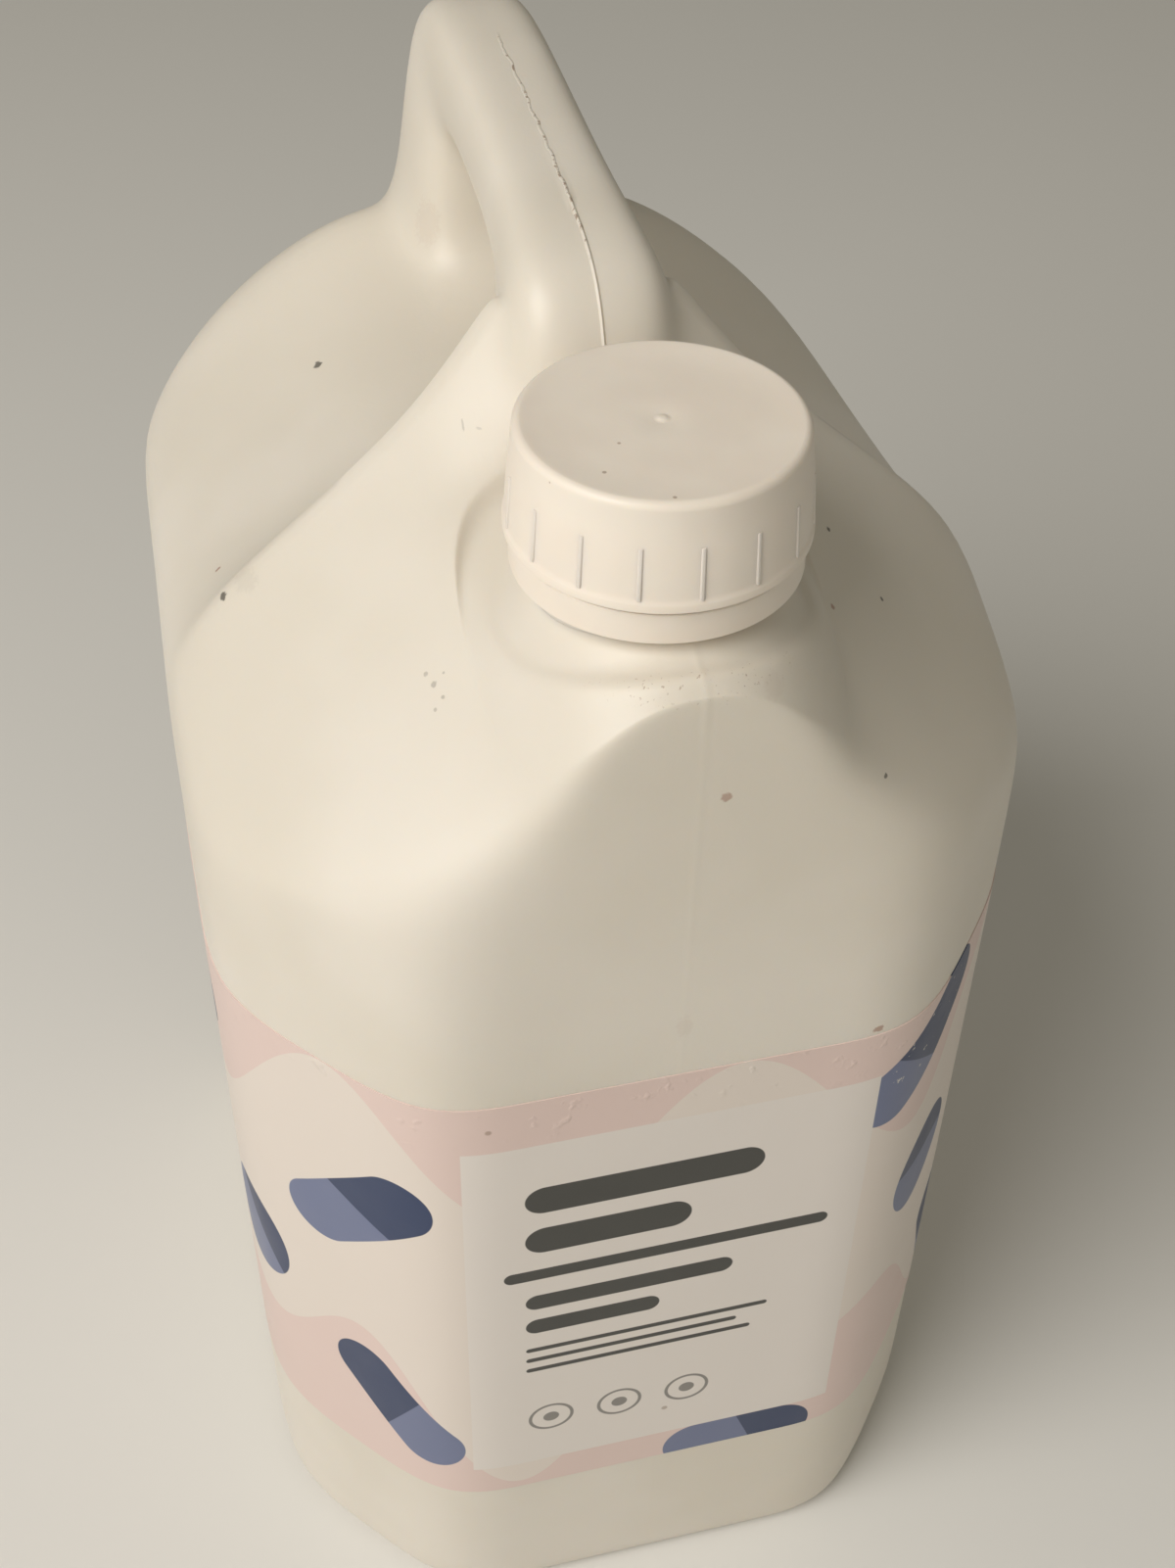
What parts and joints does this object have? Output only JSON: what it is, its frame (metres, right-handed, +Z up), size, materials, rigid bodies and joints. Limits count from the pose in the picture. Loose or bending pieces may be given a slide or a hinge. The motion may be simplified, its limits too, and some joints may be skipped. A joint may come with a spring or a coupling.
{
  "type": "body wash bottle",
  "caption": "Jerrycan bottle for liquid soap with an integral handle, a ribbed screw cap, a tamper ring and a printed wrap-round label.",
  "frame": {"origin": "middle of the bounding box on the surface that the bottle stands on", "axes": "+Z up, -Y towards the front wall and the neck, +X to the right of someone who faces the front"},
  "size_m": [0.149, 0.179, 0.2903],
  "materials": {
    "bottle": "satin, unpigmented polyethylene",
    "cap": "semi-gloss, slightly translucent polyethylene",
    "tamper_ring": "semi-gloss, slightly translucent polyethylene",
    "liner": "matte foam",
    "label": "satin printed film"
  },
  "bodies": {
    "bottle": {"bottle": "bottle", "label": "label"},
    "tamper_ring": {"tamper_ring": "tamper_ring"},
    "cap": {"cap": "cap", "liner": "liner"}
  },
  "joints": [
    {"name": "cap_turn", "type": "hinge", "parent": "bottle", "child": "tamper_ring", "pos_m": [0, -0.061, 0.26], "axis": [0, 0, 1], "range_deg": [0, 540]},
    {"name": "cap_lift", "type": "slide", "parent": "tamper_ring", "child": "cap", "axis": [0, 0, 1], "range_m": [0, 0.0061]}
  ],
  "couplings": [
    {"joint": "cap_lift", "follows": "cap_turn", "m_per_rad": 0.00063662}
  ]
}
